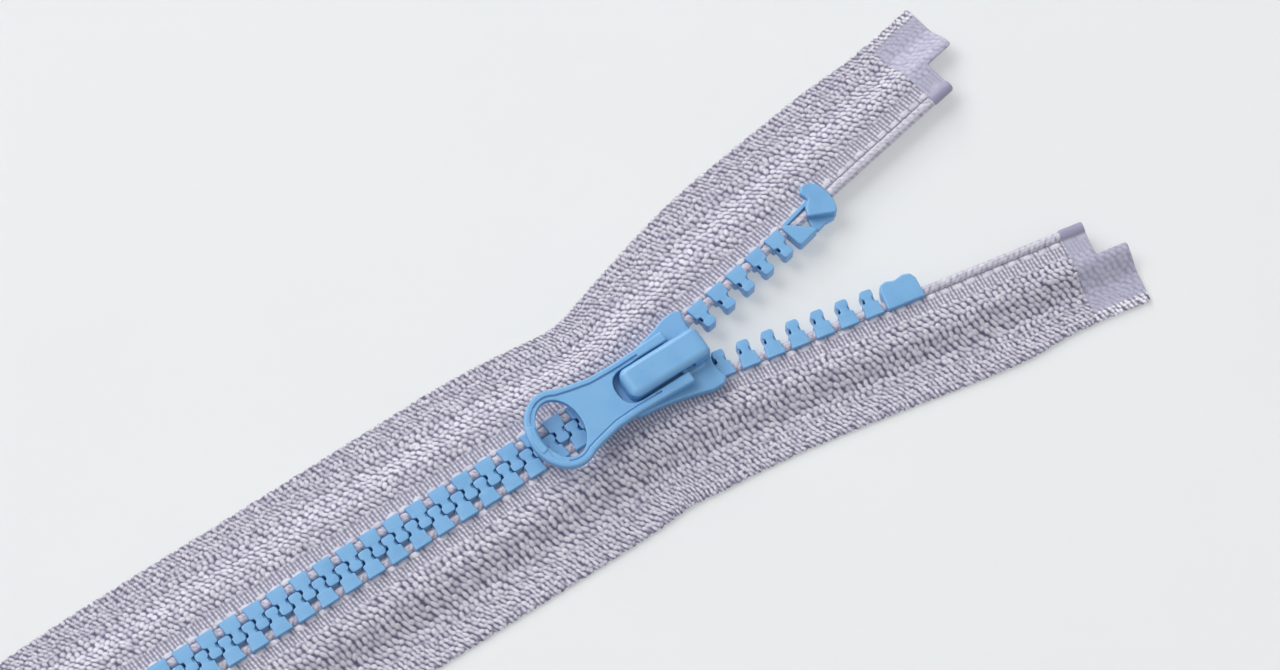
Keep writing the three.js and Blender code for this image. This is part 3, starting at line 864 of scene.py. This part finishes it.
def hooked_stop():
    """A wedge and a beaked head joined by a thin bar along the tape and a low link, open between."""
    bar = slab(rounded([
        (0.1, 0.5, 0.1), (0.6, 0.98, 0.15), (5.7, 1.4, 0.2), (5.7, 0.8, 0.2), (1.2, 0.45, 0.1),
    ]), 1.2, 3.3, 0.12)
    wedge = slab(rounded([
        (-0.1, 0.8, 0.2), (0.1, -3.1, 0.6), (3.6, -2.95, 0.5), (3.1, -2.1, 0.6), (0.9, 0.4, 0.3),
    ]), TOOTH_LOW, 3.6, 0.24, segments=4)
    head = slab(rounded([
        (3.75, -0.7, 0.2), (4.35, 0.45, 0.3), (5.5, 1.1, 0.25), (5.45, 1.75, 0.2), (5.2, 2.6, 0.45),
        (6.2, 3.15, 0.5), (7.3, 2.9, 0.6), (8.0, 2.0, 0.7), (8.35, 0.2, 1.0), (8.1, -1.5, 0.8),
        (7.5, -2.7, 0.5), (7.0, -2.9, 0.3),
    ]), TOOTH_LOW, 3.8, 0.26, segments=4)
    link = slab(rounded([
        (3.4, -1.9, 0.1), (3.85, -0.7, 0.2), (7.3, -2.5, 0.3), (6.7, -3.05, 0.4), (5.2, -2.7, 0.6),
        (3.7, -2.85, 0.3),
    ]), 1.25, 2.45, 0.12)
    return moulded(joined([bar, wedge, head, link]), STOP_VOXEL, STOP_PASSES)


def block_stop():
    """A rounded block with a shallow wave on its inner edge."""
    body = slab(rounded([
        (0.0, 0.98, 0.25), (0.0, -1.7, 0.6), (0.25, -2.75, 0.8), (1.3, -3.05, 0.5), (2.5, -2.74, 0.7),
        (3.8, -3.12, 0.7), (4.95, -2.9, 0.6), (5.45, -2.0, 0.5), (5.6, 0.98, 0.25),
    ]), TOOTH_LOW, 3.75, 0.3, segments=5)
    return moulded(body, STOP_VOXEL, STOP_PASSES)


def make_stop(row, mesh):
    moved = points_of(mesh) + np.array([stop_start(row), 0, 0])
    mesh = faced_out(set_points(mesh, row.rigid(moved, True)))
    solid_piece(f"{row.name}_top_stop_moulded", mesh, PLASTIC, row.top, f"{row.name}_top_stop")


# ------------------------------------------------------------------ slider
def across(half):
    """A whole outline from the corners (x, half width, radius) of its +Y side, rear to front."""
    return [*half, *[(x, -y, radius) for x, y, radius in reversed(half)]]


def to_slider_place(mesh):
    mesh.transform(Matrix.Translation((ZERO_X, CHAIN_Y, 0)))
    return mesh


PLATE_CORNERS = [
    (2.0, 3.2, 0.8), (2.7, 3.95, 0.6), (5.0, 4.22, 3), (8.0, 4.7, 4), (11.0, 5.45, 2), (13.3, 6.25, 1.2),
    (15.1, 6.3, 0.5), (15.85, 5.65, 0.4), (15.5, 4.4, 1.2), (15.35, 3.1, 1.2), (15.7, 1.9, 0.7),
    (16.2, 1.1, 0.6),
]


def flange_half(x):
    """Half width of the tooth channel."""
    return CHANNEL_REAR_HALF + (x - CHANNEL_REAR_X) * math.sin(LEFT.spread)


def slider_shell():
    """Two shield-shaped plates, the flanges between them and the wedge at the mouth."""
    plate = rounded(across(PLATE_CORNERS))
    parts = [
        slab(plate, 0.02, PLATE_T, 0.28),
        slab(plate, BODY_TOP - PLATE_T, BODY_TOP, 0.28),
        slab(rounded(across([(11.2, 0.15, 0.1), (14.4, 0.85, 0.5), (15.7, 0.7, 0.3)])), 0.4, BODY_TOP - 0.4),
        slab(rounded(across([(3.4, 2.5, 0.6), (14.4, 2.7, 0.5)])), BODY_TOP - 0.4, BODY_TOP + 0.16, 0.12),
    ]
    for side in (1, -1):
        outside = [(x, side * (y - 0.1), 0.5) for x, y, _ in PLATE_CORNERS[1:7]]
        inside = [(x, side * flange_half(x), 0.2) for x in (14.7, 2.6)]
        wall = rounded([*outside, *inside])
        parts.append(slab(wall, 0.3, 1.88, 0.12))
        parts.append(slab(wall, 2.95, BODY_TOP - 0.3, 0.12))
    window = slab(rounded(across([(5.3, 0.9, 0.2), (6.8, 0.9, 0.2)])), 3.3, 6.0)
    whole = combined(united(parts), [window], "DIFFERENCE")
    return to_slider_place(moulded(whole, 0.085, 4))


def united(parts):
    return combined(parts[0], parts[1:], "UNION")


def cover_shell():
    """Long hollow cover over the lock: a smooth bar with rounded ends, open along both sides."""
    profile = rounded([
        (COVER_REAR, 4.6, 0.1), (COVER_REAR, COVER_TOP, 2.3), (COVER_FRONT, COVER_TOP, 1.4),
        (COVER_FRONT, 4.6, 0.1),
    ], 12)
    long = standing(slab(profile, -COVER_HALF, COVER_HALF, 0.95, segments=7))
    beyond = COVER_HALF + 0.02
    plan = rounded(across([(COVER_REAR, beyond, 1.75), (COVER_FRONT, beyond, 1.1)]), 12)
    room = slab(rounded(across([(4.4, 1.62, 0.4), (14.2, 1.62, 0.2)])), 4.0, 7.1, 0.1)
    gap = [(5.9, 4.0, 0.1), (5.9, 6.3, 0.5), (8.4, 6.6, 0.5), (13.0, 6.6, 0.3), (13.0, 4.0, 0.1)]
    side_gap = standing(slab(rounded(gap), -4, 4))
    shaped = combined(long, [slab(plan, 4.0, 9.0)], "INTERSECT")
    whole = combined(shaped, [room, side_gap], "DIFFERENCE")
    return to_slider_place(moulded(whole, 0.06, 3))


def strip_mesh(section, half, edge=0.04):
    """Bent metal strip from its side outline, with eased edges."""
    return to_slider_place(standing(slab(rounded(section), -half, half, edge, segments=2)))


def pawl_mesh():
    """The strip with its hooked tip, and two short wings folded down beside it."""
    section = [
        (13.9, 6.35, 0.1), (13.9, 6.6, 0.1), (6.4, 6.6, 0.5), (5.75, 6.1, 0.4), (5.75, 3.85, 0.05),
        (6.1, 3.85, 0.12), (6.05, 5.95, 0.3), (6.6, 6.35, 0.3),
    ]
    leaf = [(8.2, 6.36, 0.05), (8.2, 6.58, 0.05), (10.4, 6.58, 0.05), (10.4, 6.36, 0.05)]
    wing = rounded([
        (8.2, 6.58, 0.05), (8.2, 5.8, 0.4), (9.4, 5.35, 0.5), (10.4, 5.9, 0.4), (10.4, 6.58, 0.05),
    ])
    half, thick = 1.42, 0.22
    parts = [strip_mesh(section, 0.6), strip_mesh(leaf, half)]
    for low in (-half, half - thick):
        parts.append(to_slider_place(standing(slab(wing, low, low + thick, 0.04, segments=2))))
    return united(parts)


def spring_mesh():
    """A slightly arched leaf above the pawl, held under the cover's roof."""
    return strip_mesh([
        (13.8, 6.88, 0.05), (13.8, 7.02, 0.05), (11.6, 7.08, 2), (9.7, 7.06, 0.05),
        (9.7, 6.94, 0.05), (11.6, 6.96, 2),
    ], 0.5, 0.03)


# ------------------------------------------------------------------ pull
RING_OUTER, RING_HOLE = (4.7, 5.9), (3.05, 4.45)
ARM_HALF, SLOT_HALF, SLOT_REAR, ARM_FRONT = 4.3, 2.65, 1.7, 11.65
BAR_R = 0.45
RIM = 0.85                     # width of the raised border of the blade
FIELD_DEPTH, RIM_GROOVE_DEPTH, RIM_GROOVE_W = 0.17, 0.34, 0.24
RIM_GROOVE_LAP = 0.04          # how far the groove bites into the border
WAIST = [(-3.5, 4.75, 2.5), (-0.6, 4.12, 4.0), (3.0, 3.98, 3.0), (7.0, 4.06, 3.0)]


def oval(radii, start, end, count, x=RING_X):
    angles = np.radians(np.linspace(start, end, count))
    return [(x + radii[0] * math.cos(a), radii[1] * math.sin(a)) for a in angles]


def pull_outline():
    """The blade's outline: ring, waist and two arms."""
    ring = [(x, y, 0.0) for x, y in oval(RING_OUTER, 180, 62, 16)]
    arm = [(ARM_FRONT, ARM_HALF, 0.35), (ARM_FRONT, SLOT_HALF, 0.3)]
    slot = [(SLOT_REAR, SLOT_HALF, 2.5)]
    half = [*ring, *WAIST, *arm, *slot]
    mirror = [(x, -y, radius) for x, y, radius in reversed(half[1:])]
    return rounded([*half, *mirror], 8)


def pull_mesh():
    """The pull: a flat blade with raised borders, an oval ring with its gate mark, arms and crossbar."""
    low, high = PIVOT_Z - PULL_T / 2, PIVOT_Z + PULL_T / 2
    hole = oval(RING_HOLE, 0, 354, 60)
    blade = slab(pull_outline(), low, high, 0.34, holes=[hole], segments=4)
    field_half = [
        *[(x, y, 0.0) for x, y in oval([r - RIM for r in RING_OUTER], 145, 62, 12)],
        *[(x, y - RIM, radius) for x, y, radius in WAIST],
    ]
    field = rounded(across(field_half))
    sunk = slab(field, high - FIELD_DEPTH, high + 1)
    grooves = []
    for side in (1, -1):
        outer = [(x, side * (y + RIM_GROOVE_LAP), 0.0) for x, y, _ in field_half[4:]]
        inner = [(x, side * (y + RIM_GROOVE_LAP - RIM_GROOVE_W), 0.0) for x, y, _ in field_half[4:]]
        grooves.append(slab(rounded([*outer, *inner[::-1]]), high - RIM_GROOVE_DEPTH, high + 1))
    gate_path = [*oval((4.3, 5.4), 152, 200, 10), *oval((3.3, 4.65), 200, 152, 10)]
    gate = slab(rounded([(x, y, 0.3) for x, y in gate_path]), high - 0.3, high + 0.2, 0.12)
    bar = standing(slab(oval((BAR_R, BAR_R), 0, 342, 20, 0.0), -SLOT_HALF - 0.5, SLOT_HALF + 0.5))
    bar.transform(Matrix.Translation((PIVOT_X, 0, PIVOT_Z)))
    whole = combined(blade, [sunk, *grooves], "DIFFERENCE")
    return to_slider_place(moulded(joined([whole, gate, bar]), 0.07, 3))


def make_slider():
    pieces = [
        ("slider_body_moulded", slider_shell(), PLASTIC, "slider", "slider_body", "plastic"),
        ("lock_cover_moulded", cover_shell(), PLASTIC, "slider", "lock_cover", "plastic"),
        ("lock_spring_leaf", spring_mesh(), STEEL, "slider", "lock_spring", "lock_metal"),
        ("lock_pawl_strip", pawl_mesh(), STEEL, "pawl", "lock_pawl", "lock_metal"),
        ("pull_tab_moulded", pull_mesh(), PLASTIC, "pull", "pull_tab", "plastic"),
    ]
    for name, mesh, material, body, node, slot in pieces:
        solid_piece(name, mesh, material, body, node, SHARP_ANGLE if material is STEEL else None)


# ------------------------------------------------------------------ separating bottom end
BOX_WALL, SOCKET_HALF, BOX_CORNER = 0.6, 3.05, 0.9
GRIP_STEP, GRIP_W, GRIP_HALF, GRIP_DEPTH = 1.1, 0.5, 2.6, 0.12


def level_strip(start, end, middle, half, radius, low, high):
    """A straight bar across or along the chain, with eased corners."""
    corners = [
        (start, middle + half, radius), (end, middle + half, radius),
        (end, middle - half, radius), (start, middle - half, radius),
    ]
    return slab(rounded(corners), low, high)


def box_shell():
    """The box at the bottom: a hollow shell open towards the chain, with grip grooves on top."""
    low, high = node_box("retainer_box")
    middle = (low[1] + high[1]) / 2
    half = (high[1] - low[1]) / 2
    plan = rounded([
        (low[0], middle + half - BOX_CORNER, 0.5), (low[0] + BOX_CORNER, middle + half, 0.5),
        (high[0], middle + half, 0.35), (high[0], middle - half, 0.35),
        (low[0] + BOX_CORNER, middle - half, 0.5), (low[0], middle - half + BOX_CORNER, 0.5),
    ])
    shell = slab(plan, low[2], high[2], 0.35, segments=4)
    grips = [
        level_strip(x, x + GRIP_W, middle, GRIP_HALF, 0.1, high[2] - GRIP_DEPTH, high[2] + 0.5)
        for x in np.arange(low[0] + 1.6, high[0] - 1.4, GRIP_STEP)
    ]
    socket = level_strip(
        low[0] + 0.7, high[0] + 1, middle, SOCKET_HALF, 0.0, low[2] + BOX_WALL, high[2] - BOX_WALL,
    )
    return moulded(combined(shell, [socket, *grips], "DIFFERENCE"), 0.08, 3)


PIN_INNER, PIN_OUTER, PIN_NARROW = 0.25, 2.75, 1.3     # across the chain from its centre line
PIN_NOSE = 0.75


def pin_mesh(side):
    """Flat pin with a tapered nose and a web over its tape; the fixed one narrows by the last tooth."""
    low, high = node_box("insertion_pin" if side > 0 else "retainer_pin")
    rear, front = low[0], high[0]
    nose = [(rear, PIN_INNER + PIN_NOSE, 0.3), (rear + PIN_NOSE, PIN_INNER, 0.4)]
    if side > 0:
        shoulder = [(front, PIN_INNER, 0.2)]
    else:
        shoulder = [(front - 1.8, PIN_INNER, 0.2), (front - 1.5, PIN_NARROW, 0.2), (front, PIN_NARROW, 0.2)]
    tail = [(front, PIN_OUTER, 0.2), (rear + PIN_NOSE, PIN_OUTER, 0.4), (rear, PIN_OUTER - PIN_NOSE, 0.3)]
    body = [(x, CHAIN_Y + side * y, radius) for x, y, radius in [*nose, *shoulder, *tail]]
    web_y = [CHAIN_Y + side * y for y in (2.2, 4.2)]
    web = [
        (rear + 6.2, web_y[0], 0.2), (front, web_y[0], 0.2),
        (front, web_y[1], 0.3), (rear + 6.5, web_y[1], 0.3),
    ]
    parts = [slab(rounded(body), low[2], high[2], 0.22), slab(rounded(web), 1.9, 3.0, 0.15)]
    return moulded(joined(parts), 0.075, 3)


def make_bottom_end():
    for name, mesh, node in [
        ("insertion_pin_moulded", pin_mesh(1), "insertion_pin"),
        ("retainer_pin_moulded", pin_mesh(-1), "retainer_pin"),
        ("retainer_box_moulded", box_shell(), "retainer_box"),
    ]:
        solid_piece(name, mesh, PLASTIC, "chain", node)


# ------------------------------------------------------------------ camera, light and ground
CAMERA_AZIMUTH, CAMERA_ELEVATION = math.radians(-33.42), math.radians(70.0)
CAMERA_DISTANCE, CAMERA_LENS = 0.658, 134.8
CAMERA_TARGET = Vector((0.0288, 0.0065, 0.003))


GROUND_HALF, GROUND_LEVEL = 3.0, -0.00002     # metres, just under the tapes


def make_camera():
    data = bpy.data.cameras.new("camera")
    data.lens = CAMERA_LENS
    data.sensor_width = 36.0
    data.clip_start, data.clip_end = 0.02, 20.0
    camera = bpy.data.objects.new("camera", data)
    flat = math.cos(CAMERA_ELEVATION)
    back = Vector((
        math.sin(CAMERA_AZIMUTH) * flat, -math.cos(CAMERA_AZIMUTH) * flat, math.sin(CAMERA_ELEVATION),
    ))
    camera.location = CAMERA_TARGET + back * CAMERA_DISTANCE
    camera.rotation_mode = "QUATERNION"
    camera.rotation_quaternion = (-back).to_track_quat("-Z", "Y")
    bpy.context.scene.collection.objects.link(camera)
    bpy.context.scene.camera = camera


def area_light(name, place, size, power, colour, spread=math.pi):
    """A round soft light aimed at the object."""
    data = bpy.data.lights.new(name, "AREA")
    data.shape = "DISK"
    data.size = size
    data.energy = power
    data.color = colour
    data.spread = spread
    light = bpy.data.objects.new(name, data)
    light.location = place
    light.rotation_mode = "QUATERNION"
    light.rotation_quaternion = (CAMERA_TARGET - Vector(place)).to_track_quat("-Z", "Y")
    bpy.context.scene.collection.objects.link(light)


def make_stage():
    half, level = GROUND_HALF, GROUND_LEVEL
    corners = [(-half, -half, level), (half, -half, level), (half, half, level), (-half, half, level)]
    mesh = new_mesh(corners, [(0, 1, 2, 3)])
    mesh.materials.append(pale_paper())
    ground = bpy.data.objects.new("ground", mesh)
    bpy.context.scene.collection.objects.link(ground)
    area_light("key_light", (-0.60, 1.24, 1.50), 1.5, 25.0, (1.0, 0.99, 0.98))
    area_light("rim_light", (0.15, 1.10, 0.50), 0.40, 0.12, (1.0, 1.0, 1.0), spread=0.5)
    area_light("fill_light", (0.5, -0.6, 0.9), 0.9, 1.2, (0.97, 0.98, 1.0))
    world = bpy.data.worlds.new("soft_room")
    world.use_nodes = True
    background = world.node_tree.nodes["Background"]
    background.inputs["Color"].default_value = (0.96, 0.975, 1.0, 1)
    background.inputs["Strength"].default_value = 0.47
    bpy.context.scene.world = world
    bpy.context.scene.view_settings.view_transform = "Standard"


# ------------------------------------------------------------------ the whole object
make_camera()
make_stage()
for stringer in STRINGERS:
    tape_end = node_box(f"{stringer.name}_tape_closed")[0][0]
    make_tape(stringer, tape_end - stringer.hinge[0] - TAPE_UNDER_FILM)
    make_teeth(stringer)
    make_top_film(stringer)
    make_bottom_film(stringer)
make_stop(LEFT, hooked_stop())
make_stop(RIGHT, block_stop())
make_slider()
make_bottom_end()
